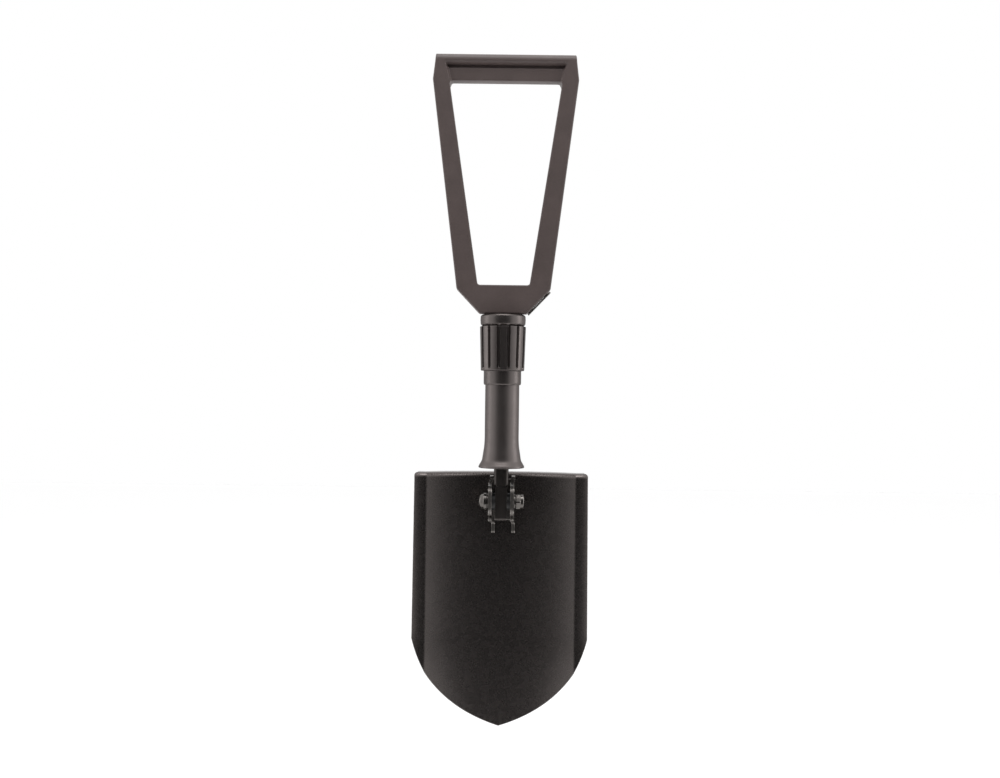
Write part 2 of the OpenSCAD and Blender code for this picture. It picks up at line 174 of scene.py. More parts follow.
def cylinder(r, lo, hi, axis, at=(0, 0, 0), segments=48):
    return lathe([(0, lo), (r, lo), (r, hi), (0, hi)], segments, axis, at)


def loops(rows, closed_rows=True):
    """Closed rings of points, joined row to row; open stacks get a cap at each end."""
    n = len(rows[0])
    verts = [p for row in rows for p in row]
    faces = []
    last = len(rows) if closed_rows else len(rows) - 1
    for k in range(last):
        a, b = k * n, (k + 1) % len(rows) * n
        faces += [[a + i, a + (i + 1) % n, b + (i + 1) % n, b + i] for i in range(n)]
    if not closed_rows:
        faces += [list(range(n))[::-1], [last * n + i for i in range(n)]]
    return verts, faces


def thick_sheet(front, back):
    """Closed solid between two grids of points that have the same rows and columns."""
    rows, cols = len(front), len(front[0])
    verts = [p for grid in (front, back) for row in grid for p in row]
    far = rows * cols
    faces = []
    for j in range(rows - 1):
        for i in range(cols - 1):
            a = j * cols + i
            quad = [a, a + 1, a + cols + 1, a + cols]
            faces += [quad, [far + k for k in reversed(quad)]]
    rim = list(range(cols))
    rim += [j * cols + cols - 1 for j in range(1, rows)]
    rim += [(rows - 1) * cols + i for i in range(cols - 2, -1, -1)]
    rim += [j * cols for j in range(rows - 2, 0, -1)]
    for a, b in zip(rim, rim[1:] + rim[:1]):
        faces.append([a, far + a, far + b, b])
    return verts, faces


def moved(part, matrix):
    return [matrix @ Vector(v) for v in part[0]], part[1]


def mirrored(part):
    return [Vector((-v[0], v[1], v[2])) for v in part[0]], part[1]


def mesh_from(name, parts, merge=0.0):
    bm = bmesh.new()
    for verts, faces in parts:
        made = [bm.verts.new(Vector(v) * MM) for v in verts]
        for f in faces:
            bm.faces.new([made[i] for i in f])
    if merge:
        bmesh.ops.remove_doubles(bm, verts=bm.verts, dist=merge * MM)
        bmesh.ops.dissolve_degenerate(bm, edges=bm.edges, dist=merge * MM)
    bmesh.ops.recalc_face_normals(bm, faces=bm.faces)
    mesh = bpy.data.meshes.new(name)
    bm.to_mesh(mesh)
    bm.free()
    return mesh


def boolean(obj, part, operation):
    tool = bpy.data.objects.new("tool", mesh_from("tool", [part]))
    bpy.context.scene.collection.objects.link(tool)
    mod = obj.modifiers.new("cut", "BOOLEAN")
    mod.operation = operation
    mod.solver = "EXACT"
    mod.object = tool
    bpy.context.view_layer.update()
    deps = bpy.context.evaluated_depsgraph_get()
    made = bpy.data.meshes.new_from_object(obj.evaluated_get(deps))
    obj.modifiers.clear()
    old = obj.data
    obj.data = made
    bpy.data.meshes.remove(old)
    made.name = obj.name
    old = tool.data
    bpy.data.objects.remove(tool)
    bpy.data.meshes.remove(old)


def shade(mesh, sharp):
    bm = bmesh.new()
    bm.from_mesh(mesh)
    for f in bm.faces:
        f.smooth = True
    for e in bm.edges:
        e.smooth = len(e.link_faces) == 2 and e.calc_face_angle(0) < math.radians(sharp)
    bm.to_mesh(mesh)
    bm.free()


def add_bevel(obj, width, segments=3, angle=35):
    mod = obj.modifiers.new("edges", "BEVEL")
    mod.width = width * MM
    mod.segments = segments
    mod.limit_method = "ANGLE"
    mod.angle_limit = math.radians(angle)
    mod.harden_normals = True


def piece(name, parts, finish, body, nodes, bevel=0.0, sharp=35, cuts=(), unions=(), merge=0.0):
    """A detailed piece that stands for CAD nodes."""
    mesh = mesh_from(name, parts, merge)
    obj = bpy.data.objects.new(name, mesh)
    bpy.context.scene.collection.objects.link(obj)
    for part in unions:
        boolean(obj, part, "UNION")
    for part in cuts:
        boolean(obj, part, "DIFFERENCE")
    shade(obj.data, sharp)
    if bevel:
        add_bevel(obj, bevel)
    obj.data.materials.clear()
    obj.data.materials.append(MATERIALS[finish])
    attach(obj, body)
    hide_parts(*nodes)
    return obj


# ---------------------------------------------------------------- materials

ROUGH_SPREAD = 0.025


def material(name, colour, rough, metallic=0.0, patch=0.12, grain=1400.0, bump=0.25, depth=0.04,
             edge_wear_and_highlight=None, edge_wear_and_highlight_amount=0.6, coarse=90.0, edge=0.5, stretch=(1, 1, 1), rim=1.0):
    """Base colour with patches and fine speckle, a grained bump and lighter edges, which are wear and, on the
    bracket, also a painted highlight.

    Depth and edge are in mm. Rim is how bright the metal is where it is seen edge on.
    """
    mat = bpy.data.materials.new(name)
    mat.use_nodes = True
    nodes, links = mat.node_tree.nodes, mat.node_tree.links
    nodes.clear()
    out = nodes.new("ShaderNodeOutputMaterial")
    shader = nodes.new("ShaderNodeBsdfPrincipled")
    links.new(shader.outputs["BSDF"], out.inputs["Surface"])
    shader.inputs["Metallic"].default_value = metallic
    shader.inputs["Specular Tint"].default_value = (rim, rim, rim, 1)

    coords = nodes.new("ShaderNodeTexCoord")
    mapping = nodes.new("ShaderNodeMapping")
    mapping.inputs["Scale"].default_value = stretch
    links.new(coords.outputs["Object"], mapping.inputs["Vector"])

    def noise(scale, detail, vector=mapping.outputs["Vector"]):
        n = nodes.new("ShaderNodeTexNoise")
        n.inputs["Scale"].default_value = scale
        n.inputs["Detail"].default_value = detail
        links.new(vector, n.inputs["Vector"])
        return n.outputs["Fac"]

    def remap(value, lo, hi, to_lo, to_hi):
        m = nodes.new("ShaderNodeMapRange")
        for socket, v in zip(("From Min", "From Max", "To Min", "To Max"), (lo, hi, to_lo, to_hi)):
            m.inputs[socket].default_value = v
        links.new(value, m.inputs["Value"])
        return m.outputs["Result"]

    def math_node(operation, a, b):
        m = nodes.new("ShaderNodeMath")
        m.operation = operation
        for socket, v in zip(m.inputs, (a, b)):
            if isinstance(v, (int, float)):
                socket.default_value = v
            else:
                links.new(v, socket)
        return m.outputs[0]

    patches = noise(coarse, 4)
    specks = noise(grain, 3)
    tone = math_node("ADD", remap(patches, 0.3, 0.7, 0.0, 0.65), remap(specks, 0.35, 0.65, 0.0, 0.35))
    mix = nodes.new("ShaderNodeMix")
    mix.data_type = "RGBA"
    links.new(tone, mix.inputs["Factor"])
    mix.inputs["A"].default_value = (*[c * (1 - patch) for c in colour], 1)
    mix.inputs["B"].default_value = (*[c * (1 + patch) for c in colour], 1)
    result = mix.outputs["Result"]
    uneven = remap(noise(coarse * 2.3, 3), 0.3, 0.7, rough - ROUGH_SPREAD, rough + ROUGH_SPREAD)
    links.new(uneven, shader.inputs["Roughness"])

    # Lighter edges: wear of the finish, and on the bracket also a painted highlight.
    if edge_wear_and_highlight:
        soft = nodes.new("ShaderNodeBevel")
        soft.samples = 4
        soft.inputs["Radius"].default_value = edge * MM
        geometry = nodes.new("ShaderNodeNewGeometry")
        dot = nodes.new("ShaderNodeVectorMath")
        dot.operation = "DOT_PRODUCT"
        links.new(soft.outputs["Normal"], dot.inputs[0])
        links.new(geometry.outputs["Normal"], dot.inputs[1])
        edge_wear_and_highlight_mask = math_node("MULTIPLY", remap(dot.outputs["Value"], 0.98, 0.88, 0.0, edge_wear_and_highlight_amount),
                         remap(noise(coarse * 5, 5), 0.4, 0.62, 0.1, 1.0))
        over = nodes.new("ShaderNodeMix")
        over.data_type = "RGBA"
        links.new(edge_wear_and_highlight_mask, over.inputs["Factor"])
        links.new(result, over.inputs["A"])
        over.inputs["B"].default_value = (*edge_wear_and_highlight, 1)
        result = over.outputs["Result"]
    links.new(result, shader.inputs["Base Color"])

    bumps = nodes.new("ShaderNodeBump")
    bumps.inputs["Strength"].default_value = bump
    bumps.inputs["Distance"].default_value = depth * MM
    links.new(specks, bumps.inputs["Height"])
    links.new(bumps.outputs["Normal"], shader.inputs["Normal"])
    return mat


MATERIALS = {
    "blade": material("powder_coat", (0.112, 0.099, 0.095), 0.27, metallic=0.9, patch=0.05,
                      grain=1100, bump=0.03, depth=0.02),
    # The bracket's edges are painted much lighter, 1.3 mm wide at full strength: partly wear of the black
    # coat, partly a painted highlight on the ears' bright front strips.
    "bracket": material("blackened_sheet", (0.15, 0.138, 0.13), 0.38, metallic=0.85, patch=0.2,
                        grain=1800, bump=0.2, depth=0.03, edge_wear_and_highlight=(0.62, 0.58, 0.54), edge=1.3,
                        edge_wear_and_highlight_amount=1.0),
    "fasteners": material("blackened_steel", (0.125, 0.115, 0.108), 0.2, metallic=0.9, patch=0.1,
                          grain=2200, bump=0.03, depth=0.02, edge_wear_and_highlight=(0.4, 0.38, 0.36)),
    "black_plastic": material("black_plastic", (0.02, 0.02, 0.02), 0.5, grain=1500),
    "nylon": material("nylon", (0.16, 0.155, 0.145), 0.45, grain=1500, patch=0.06),
    "bar": material("bar_steel", (0.065, 0.058, 0.054), 0.36, metallic=0.8, patch=0.18, grain=1600,
                    bump=0.2, depth=0.03, edge_wear_and_highlight=(0.45, 0.42, 0.4), stretch=(1, 1, 0.25)),
    "tube": material("anodised_tube", (0.130, 0.114, 0.110), 0.37, metallic=0.85, patch=0.06,
                     grain=1700, bump=0.12, depth=0.03, edge_wear_and_highlight=(0.4, 0.38, 0.36), edge_wear_and_highlight_amount=0.4, rim=0.4),
    "collar": material("anodised_collar", (0.118, 0.104, 0.100), 0.30, metallic=0.85, patch=0.08,
                       grain=1700, bump=0.12, depth=0.03, edge_wear_and_highlight=(0.45, 0.42, 0.4), rim=0.4),
    "brass": material("brass", (0.6, 0.44, 0.18), 0.3, metallic=1.0, stretch=(0.2, 0.2, 3), grain=900),
    "rubber": material("rubber", (0.015, 0.015, 0.015), 0.7, grain=1200),
    "handle": material("moulded_grip", (0.098, 0.074, 0.070), 0.5, patch=0.14, grain=1300, bump=0.5,
                       depth=0.06, coarse=60, edge_wear_and_highlight=(0.15, 0.125, 0.12), edge_wear_and_highlight_amount=0.5),
}

# ---------------------------------------------------------------- blade


def blade_bottom(x):
    """Height of the pointed edge above the tip."""
    return POINT_Z - math.sqrt(POINT_R ** 2 - (abs(x) + POINT_X) ** 2)


def blade_half(z):
    """Half width of the blade at a height above the tip, over its shoulder."""
    line = lerp(SHOULDER_X, BLADE_HALF, (z - SHOULDER_Z) / (BLADE_H - SHOULDER_Z))
    over = z - (BLADE_H - CORNER_R)
    if over > 0:
        line = BLADE_HALF - CORNER_R + math.sqrt(max(CORNER_R ** 2 - over ** 2, 0))
    return line


def dish_y(x):
    """Front face of the blade behind the shaft's axis, with a soft crease between dish and wing."""
    def hard(v):
        v = abs(v)
        if v >= CREASE_X:
            return WING_Y + WING_CURL * ((v - CREASE_X) / 10) ** 2
        return DISH_Y - DISH_R + math.sqrt(DISH_R ** 2 - v * v)
    taps = (-1.4, -0.9, -0.45, 0, 0.45, 0.9, 1.4)
    weights = (1, 3, 5, 6, 5, 3, 1)
    return sum(w * hard(x + t) for t, w in zip(taps, weights)) / sum(weights)


def point_curl(x, z):
    """How far the pointed end is pressed forward at its edges, z above the tip."""
    return POINT_CURL * max(0, 1 - z / SHOULDER_Z) * (x / 40) ** 2


def blade_columns():
    """Columns from left to right: dish or wing, how far out in it, and the side."""
    count = 22
    inner = [lerp(CREASE_X * k / count, CREASE_X * math.sin(math.radians(90) * k / count), 0.35)
             for k in range(count + 1)]
    extra = [CREASE_X - d for d in (1.6, 1.2, 0.8, 0.4)]
    half = sorted(set(round(v, 3) for v in inner + extra))
    wing = [0.05, 0.1, 0.16, 0.25, 0.4, 0.6, 0.8, 0.92, 1.0]
    columns = [("dish", v) for v in half] + [("wing", v) for v in wing]
    return [(kind, v, -1) for kind, v in reversed(columns)] + [(kind, v, 1) for kind, v in columns[1:]]


def blade_grids():
    """Front and back of the blade, from the point up, round the bend and back to the step's edge."""
    flat = BLADE_H - BEND_R
    rows = [("flat", k / 34) for k in range(35)]
    rows += [("bend", a) for a in (8, 18, 28, 38, 48, 58, 68, 79, 90)]
    rows += [("step", k / 4) for k in range(1, 5)]
    front, back = [], []
    for kind, v in rows:
        front.append([])
        back.append([])
        for column, at, side in blade_columns():
            if column == "dish":
                x_low, bottom = at, blade_bottom(at)
            else:
                x_low = lerp(CREASE_X, SHOULDER_X, at)
                bottom = blade_bottom(x_low)
            lean = 0.0
            if kind == "flat":
                z, back_off, tilt = lerp(bottom, flat, v), 0.0, 0.0
            elif kind == "bend":
                tilt = math.radians(v)
                z, back_off = flat + BEND_R * math.sin(tilt), BEND_R * (1 - math.cos(tilt))
            else:
                tilt = math.radians(90)
                z, back_off = BLADE_H, lerp(BEND_R, STEP_D, v)
            x = at
            if column == "wing":
                x = lerp(CREASE_X, blade_half(max(z, SHOULDER_Z)), at)
                if z < SHOULDER_Z:
                    x = x_low
                elif kind == "flat":
                    x = lerp(x_low, lerp(CREASE_X, BLADE_HALF, at), (z - bottom) / (flat - bottom))
            else:
                lean = math.asin(x / DISH_R) * smooth(CREASE_X + 1, 44, x)
            slope = (dish_y(x + 0.4) - dish_y(x - 0.4)) / 0.8
            normal = Vector((-slope, 1.0, 0)).normalized()
            out = Vector((math.sin(lean), math.cos(lean), 0))
            flat_back = lerp(normal, out, smooth(0, 40, math.degrees(tilt))).normalized()
            p = Vector((x, dish_y(x) - point_curl(x, z), z + BLADE_TIP_Z)) + out * back_off
            q = p + flat_back * SHEET * math.cos(tilt) - Vector((0, 0, SHEET * math.sin(tilt)))
            front[-1].append(Vector((side * p.x, p.y, p.z)))
            back[-1].append(Vector((side * q.x, q.y, q.z)))
    return front, back


piece("blade_sheet", [thick_sheet(*blade_grids())], "blade", "blade_group", ["blade"], bevel=0.55, sharp=40)


def back_plate_grids():
    """Front and back of the plate that is pressed to the dish's back."""
    low, high, half, corner = BLADE_PIVOT_Z - 34, BLADE_PIVOT_Z + 16, 17.0, 6.0
    xs = [-17, -16.8, -16.2, -15, -13.4, -11, -8, -5, -2.5, 0, 2.5, 5, 8, 11, 13.4, 15, 16.2, 16.8, 17]
    front, back = [], []
    for k in range(17):
        front.append([])
        back.append([])
        for x in xs:
            over = max(abs(x) - (half - corner), 0)
            cut = corner - math.sqrt(corner ** 2 - over ** 2)
            z = lerp(low + cut, high - cut, k / 16)
            for grid, r in ((front, DISH_R + SHEET + 0.03), (back, DISH_R + SHEET + 2.5)):
                a = math.asin(x / (DISH_R + SHEET))
                grid[-1].append(Vector((r * math.sin(a), DISH_Y - DISH_R + r * math.cos(a), z)))
    return front, back


piece("back_plate_pressed", [thick_sheet(*back_plate_grids())], "bracket", "blade_group", ["back_plate"],
      bevel=0.7, sharp=40)

# ---------------------------------------------------------------- blade hinge

EAR_IN, EAR_OUT = 8.2, 11.2
BOLT_R = 4.0
HEAD_R = 7.5
HEAD_END = 20.5
WASHER_END = EAR_OUT + 1.44
NUT_END = WASHER_END + 4.82
NUT_FLATS = 13.0
RIM_R = 6.3
RIM_H = 2.6
DISH_LINE = DISH_Y - 0.32           # where the ears end at the dish

# Outline of an ear as (y, z) from the bolt, with the radius of each corner.
ear = rounded([
    (20.1, -30.8, 2.6), (DISH_LINE, -30.8, 0.4), (DISH_LINE, 21.3, 0.4), (12.0, 21.3, 2.6),
    (9.8, 19.0, 0.7), (12.6, 18.4, 0.9), (12.6, 15.4, 0.9), (9.0, 14.5, 1.5), (-12.6, 14.5, 8),
    (-12.6, -12.4, 8), (9.6, -12.4, 1.2), (12.8, -13.2, 0.8), (12.8, -14.4, 0.8), (9.4, -15.2, 1.4),
    (10.4, -19.0, 1.6), (17.8, -19.9, 1.5), (20.1, -21.8, 1.5),
])


def joggled(part, side):
    """Moves the top cap and the tail of an ear sideways, as they were pressed."""
    verts = []
    for v in part[0]:
        shift = 1.3 * smooth(15.2, 18.4, v.z) + (2.9 if side < 0 else 1.6) * smooth(-18.6, -22, v.z)
        verts.append(Vector((v.x + shift, v.y, v.z)))
    return verts, part[1]


def hinge_up(part):
    return moved(part, Matrix.Translation((0, 0, BLADE_PIVOT_Z)))


def handle_up(part):
    return moved(part, Matrix.Translation((0, 0, HANDLE_PIVOT_Z)))


def web_part():
    """Web that joins the ears, with its back curved like the dish."""
    profile = rounded([(20.8, 18.3, 1.2), (99, 18.3), (99, -19.2), (20.8, -19.2, 1.2)])
    rows = []
    for x in (-EAR_IN - 1, -EAR_IN, -6, -4, -2, 0, 2, 4, 6, EAR_IN, EAR_IN + 1):
        back = DISH_Y - DISH_R + math.sqrt(DISH_R ** 2 - x * x) - 0.03
        rows.append([Vector((x, min(p[0], back), p[1])) for p in profile])
    return loops(rows, closed_rows=False)


bolt_hole = cylinder(BOLT_R + RUN_GAP, -20, 20, "x", (0, 0, BLADE_PIVOT_Z))
ear_solid = prism(ear, EAR_IN, EAR_OUT, "x")
ears = [joggled(mirrored(ear_solid), -1), joggled(ear_solid, 1)]
piece("hinge_bracket_pressed", [hinge_up(ears[0])], "bracket", "blade_group", ["hinge_bracket"], bevel=1.15,
      sharp=40, unions=[hinge_up(ears[1]), hinge_up(web_part())], cuts=[bolt_hole])



def dome(r, rise, base, angles):
    """Points of a round head, by their angles in degrees from its top."""
    return [(r * math.sin(math.radians(a)), base + rise * math.cos(math.radians(a))) for a in angles]


RIVET_Z = (-8, 10)                  # from the bolt
rivet_front, rivet_back = DISH_Y - 3.22, DISH_Y + SHEET + 2.53
head_angles = (15, 30, 45, 58, 70, 80, 90)
rivet = [(0, rivet_front - 1.8)] + dome(4.6, -1.8, rivet_front, head_angles)
rivet += [(2.5, rivet_front), (2.5, rivet_back)]
rivet += dome(5.2, 2.4, rivet_back, head_angles[::-1]) + [(0, rivet_back + 2.4)]
piece("rivets", [lathe(rivet, 48, "y", (0, 0, BLADE_PIVOT_Z + z)) for z in RIVET_Z],
      "fasteners", "blade_group", ["bracket_rivets"], sharp=50)

bolt = [(0, -HEAD_END)] + dome(6.6, -4.6, -HEAD_END + 4.6, range(10, 90, 10))
bolt += [(6.9, -HEAD_END + 4.7), (HEAD_R, -HEAD_END + 5.4), (HEAD_R, -WASHER_END - 0.25),
         (HEAD_R - 0.25, -WASHER_END - SEAT_GAP), (BOLT_R, -WASHER_END - SEAT_GAP)]
for turn in range(8):
    bolt += [(BOLT_R, NUT_END - 3.8 + turn * 0.8), (BOLT_R - 0.45, NUT_END - 3.4 + turn * 0.8)]
bolt += [(BOLT_R - 0.5, NUT_END + RIM_H), (0, NUT_END + RIM_H)]
piece("bolt", [hinge_up(lathe(bolt, 64, "x"))], "fasteners", "blade_group", ["pivot_bolt"], sharp=30)

washer_solids = []
for side in (-1, 1):
    lo, hi = sorted((side * (EAR_OUT + SEAT_GAP), side * (WASHER_END - SEAT_GAP)))
    ring = rounded([(BOLT_R + 0.15, lo, 0.2), (HEAD_R - 0.6, lo, 0.3), (HEAD_R - 0.6, hi, 0.5),
                    (BOLT_R + 0.15, hi, 0.2)], 30)
    washer_solids.append(hinge_up(lathe(ring, 64, "x")))
piece("washers", washer_solids, "fasteners", "blade_group", ["pivot_washers"], sharp=40)


def hex_nut(lo, hi, flats, bore, collar_r, collar_top):
    """Hexagon nut about X with chamfered corners and a round collar for its insert."""
    corner = flats / 2 / math.cos(math.radians(30))
    steps = 12
    rows = []
    for h, cap in ((lo, flats / 2 - 0.2), (lo + 0.75, corner), (hi - 0.75, corner), (hi, flats / 2 - 0.2)):
        row = []
        for i in range(6 * steps):
            a = TAU * i / (6 * steps)
            near = (a + math.radians(30)) % math.radians(60) - math.radians(30)
            r = min(flats / 2 / math.cos(math.radians(30) - abs(near)), corner - 0.25, cap)
            row.append(turned(-r * math.cos(a), r * math.sin(a), h, "x"))
        rows.append(row)
    for r, h in ((collar_r, hi + 0.02), (collar_r, collar_top - 0.5), (collar_r - 0.45, collar_top),
                 (bore + 1.0, collar_top), (bore + 1.0, hi - 0.98), (bore, hi - 0.98), (bore, lo)):
        rows.append([turned(-r * math.cos(TAU * i / (6 * steps)), r * math.sin(TAU * i / (6 * steps)), h, "x")
                     for i in range(6 * steps)])
    return loops(rows)


piece("nut", [hinge_up(hex_nut(WASHER_END, NUT_END, NUT_FLATS, BOLT_R + SEAT_GAP, RIM_R, NUT_END + RIM_H))],
      "fasteners", "blade_group", ["pivot_nut"], sharp=28)

# ---------------------------------------------------------------- shaft


def bar_section(gap, corner):
    """Outline of the bar, or of a hole that it slides in."""
    w, t = BAR_HALF_W + gap, BAR_HALF_T + gap
    return rounded([(-w, -t, corner), (w, -t, corner), (w, t, corner), (-w, t, corner)], 10)


def bar_part():
    """Bar above its step, with the step's edges rounded."""
    outline = bar_section(0, 2.9)
    rows = []
    for drop, z in ((1.45, -69.9), (1.1, -69.7), (0.6, -69.2), (0.2, -68.5), (0, -67.6), (0, 90)):
        rows.append([Vector((p.x * (BAR_HALF_W - drop) / BAR_HALF_W, p.y, z)) for p in outline])
    return loops(rows, closed_rows=False)


def eye_outline(r, foot_half, foot_to):
    """Round eye with a foot below it, seen from the side as (y, z)."""
    half = math.asin(foot_half / r)
    angles = [half - math.pi / 2 + (TAU - 2 * half) * k / 48 for k in range(49)]
    arc = [Vector((r * math.cos(a), r * math.sin(a))) for a in angles]
    return arc + [Vector((arc[-1].x, foot_to)), Vector((arc[0].x, foot_to))]


tongue = rounded([(-BAR_HALF_T, -16.7, 3), (BAR_HALF_T, -16.7, 3), (BAR_HALF_T, 13), (-BAR_HALF_T, 13)])
lower_eye = hinge_up(prism(tongue, -5, 5, "x"))
upper_eye = handle_up(prism(eye_outline(6, 5.99, -9), -BAR_HALF_W, BAR_HALF_W, "x"))
piece("bar_forged", [bar_part()], "bar", "bar", ["inner_bar"], bevel=0.6, sharp=40,
      unions=[lower_eye, upper_eye],
      cuts=[bolt_hole, cylinder(PIN_R + RUN_GAP, -20, 20, "x", (0, 0, HANDLE_PIVOT_Z)),
            cylinder(THRUST_PIN_R + SEAT_GAP, -20, 20, "x", (0, 0, THRUST_PIN_Z))])


def spline(points, steps=5):
    """Catmull-Rom curve through (radius, height) points."""
    out = []
    for i in range(len(points) - 1):
        p = [Vector(points[max(0, min(len(points) - 1, i + k))]) for k in (-1, 0, 1, 2)]
        for k in range(steps):
            t = k / steps
            out.append(0.5 * (2 * p[1] + (p[2] - p[0]) * t + (2 * p[0] - 5 * p[1] + 4 * p[2] - p[3]) * t * t
                              + (3 * p[1] - p[0] - 3 * p[2] + p[3]) * t ** 3))
    return out + [Vector(points[-1])]


def tube_profile():
    """Half section of the tube, its flare's points being heights above the flare's end."""
    outside = [Vector(p) for p in ((19.65, 0), (20.05, 0.25), (20.2, 0.7), (20.1, 1.25), (19.8, 1.85))]
    outside += spline([(19.4, 2.6), (18.4, 4.3), (17.2, 6.8), (16.4, 11.6), (15.8, 15.6), (15.3, 19.6),
                       (15.0, 26), (15.0, 34)])
    inside = [Vector((p.x - TUBE_WALL, p.y)) for p in outside[4:]]
    profile = [(p.x, p.y + FLARE_BOTTOM) for p in outside]
    profile += [(TUBE_R, TUBE_TOP - 0.4), (TUBE_R - 0.4, TUBE_TOP), (TUBE_R - TUBE_WALL, TUBE_TOP)]
    profile += [(p.x, p.y + FLARE_BOTTOM) for p in reversed(inside)]
    return profile + [(18.4, 0.6 + FLARE_BOTTOM), (18.8, FLARE_BOTTOM)]


piece("flared_tube", [lathe(tube_profile(), 128)], "tube", "tube", ["outer_tube"], sharp=40)

THREAD_Z = (43.4, 63.6)             # lower and upper ends of the sleeve's thread
THREAD_R = 15.0
PITCH = 2.0


def thread_row(z, crest, depth, segments):
    row = []
    for i in range(segments):
        a = TAU * i / segments
        t = ((z / PITCH) - i / segments) % 1.0
        ridge = min(1.0, max(0.0, 2.6 * abs(2 * t - 1) - 0.8))
        r = crest - depth * (1 - ridge)
        row.append(Vector((r * math.cos(a), r * math.sin(a), z)))
    return row


def sleeve_part():
    """Sleeve with the thread that the collar turns on."""
    n = 72
    rows = []

    def ring(r, z):
        rows.append([Vector((r * math.cos(TAU * i / n), r * math.sin(TAU * i / n), z)) for i in range(n)])

    ring(13.18, 20.5)
    ring(13.18, TUBE_TOP + 0.02)
    ring(14.0, TUBE_TOP + 0.02)
    low, high = THREAD_Z
    z = low
    while z < high:
        fade = smooth(low, low + 1.2, z) * smooth(high, high - 1.2, z)
        rows.append(thread_row(z, lerp(14.4, THREAD_R, fade), 0.75 * fade, n))
        z += 0.2
    ring(14.4, 64.2)
    ring(13.8, 65)
    hole = bar_section(RUN_GAP, 2.4)
    inner = []
    for i in range(n):
        a = TAU * i / n
        direction = Vector((math.cos(a), math.sin(a)))
        best = 0
        for p, q in zip(hole, hole[1:] + hole[:1]):
            cross = direction.x * (q - p).y - direction.y * (q - p).x
            if abs(cross) > 1e-9:
                u = (p.x * (q - p).y - p.y * (q - p).x) / cross
                w = (p.x * direction.y - p.y * direction.x) / cross
                if u > 0 and -1e-6 <= w <= 1 + 1e-6:
                    best = max(best, u)
        inner.append(direction * best)
    for z in (65, 20):
        rows.append([Vector((p.x, p.y, z)) for p in inner])
    ring(12.8, 20)
    return loops(rows)


piece("sleeve_threaded", [sleeve_part()], "fasteners", "tube", ["threaded_sleeve"], sharp=45)

# ---------------------------------------------------------------- lock collar

BORE = TUBE_R + RUN_GAP
FLUTE_LOW = 34.7                    # centre of the flutes' round lower ends
FLUTE_LAP = 0.35                    # how far a flute's axis stands out of the body
HALF_PITCH = 4.41                   # half the distance between two flutes


def body_r(z):
    return lerp(19.15, 20.25, (z - BAND_TOP) / (CAP_BOTTOM - BAND_TOP))


def flute_depth(off, z):
    """How deep the collar is cut beside a flute's middle, with soft edges."""
    d = math.hypot(off, max(FLUTE_LOW - z, 0))
    if d < FLUTE_R:
        f = (1 + FLUTE_DEEP) * math.sqrt(FLUTE_R ** 2 - d * d) - FLUTE_LAP
    else:
        f = -FLUTE_LAP - 3 * (d - FLUTE_R)
    return 0.5 * (f + math.sqrt(f * f + 0.012))


def collar_part():
    """Body of the collar, from its bore round its outside and back."""
    arcs = [0.0, 0.45, 0.85, 1.15, 1.34, 1.46, 1.6, 1.8, 2.2, 3.0, 3.8]
    offsets = sorted(set([-a for a in arcs] + arcs + [-HALF_PITCH]))
    angles = [FLUTE_TURN + TAU * k / FLUTES + off / HALF_PITCH * math.pi / FLUTES
              for k in range(FLUTES) for off in offsets]

    def row(r, z, fluted=False):
        points = []
        for k, a in enumerate(angles):
            radius = r - flute_depth(offsets[k % len(offsets)], z) if fluted else r
            points.append(Vector((radius * math.sin(a), -radius * math.cos(a), z)))
        return points

    rows = [row(BORE, COLLAR_BOTTOM + 0.3), row(BORE + 0.3, COLLAR_BOTTOM)]
    for r, z in ((15.6, 19.0), (16.0, 19.3), (16.3, 19.8), (16.45, 20.5), (16.5, 21.3),
                 (16.5, 30.6), (16.6, 31.1), (16.9, 31.32), (17.8, 31.4), (18.5, 31.5), (18.9, 31.72),
                 (19.08, 32.05)):
        rows.append(row(r, z))
    for z in (32.5, 32.75, 33.0, 33.3, 33.7, 34.2, 34.7, 40, 46, 52, 58, 64, 68, CAP_BOTTOM - 0.5):
        rows.append(row(body_r(z), z, True))
    rows.append(row(body_r(CAP_BOTTOM) - 0.12, CAP_BOTTOM - 0.2, True))
    rows.append(row(body_r(CAP_BOTTOM) - 0.45, CAP_BOTTOM, True))
    for r, z in ((17.4, CAP_BOTTOM), (17, CAP_BOTTOM - 0.3), (17, 32.0), (BORE, 32.0)):
        rows.append(row(r, z))
    return loops(rows)


piece("collar_fluted", [collar_part()], "collar", "collar", ["lock_collar"], sharp=34)

cap = rounded([(14.56, 70.32, 0.2), (17.8, 70.32, 0.5), (18.7, 71.2, 0.8), (19.7, 72.3, 1.2),
               (19.95, 75.6, 3.0), (19.8, 79.4, 1.4), (18.4, COLLAR_TOP, 0.8), (9.3, COLLAR_TOP, 0.6),
               (9.3, 75.4, 0.1), (14.56, 75.4, 0.1)], 15)
piece("cap_ring", [lathe([(p.x, p.y) for p in cap], 112)], "collar", "collar", ["collar_cap"], sharp=40)

# ---------------------------------------------------------------- handle

ROLL_Z = 6.4                        # from the top down to the front of the top roll
GROOVE = (9.8, 11.5)                # from the top down to the bottom of the groove under the roll
GROOVE_IN = 6.6                     # how far the groove lies behind the rails
WEB_IN = 3.4                        # how far the lower web lies behind them


def grip_profile(down):
    """Half thickness of the grip at a distance below its top, between the rails."""
    if down < ROLL_Z:
        return roll_profile(down)
    if down < GROOVE[0]:
        t = (down - ROLL_Z) / (GROOVE[0] - ROLL_Z)
        return HALF_T - GROOVE_IN * (1 - math.sqrt(max(1 - t * t, 0)))
    web = HALF_T - WEB_IN
    return lerp(HALF_T - GROOVE_IN, web, smooth(GROOVE[1], GROOVE[1] + 1.6, down))


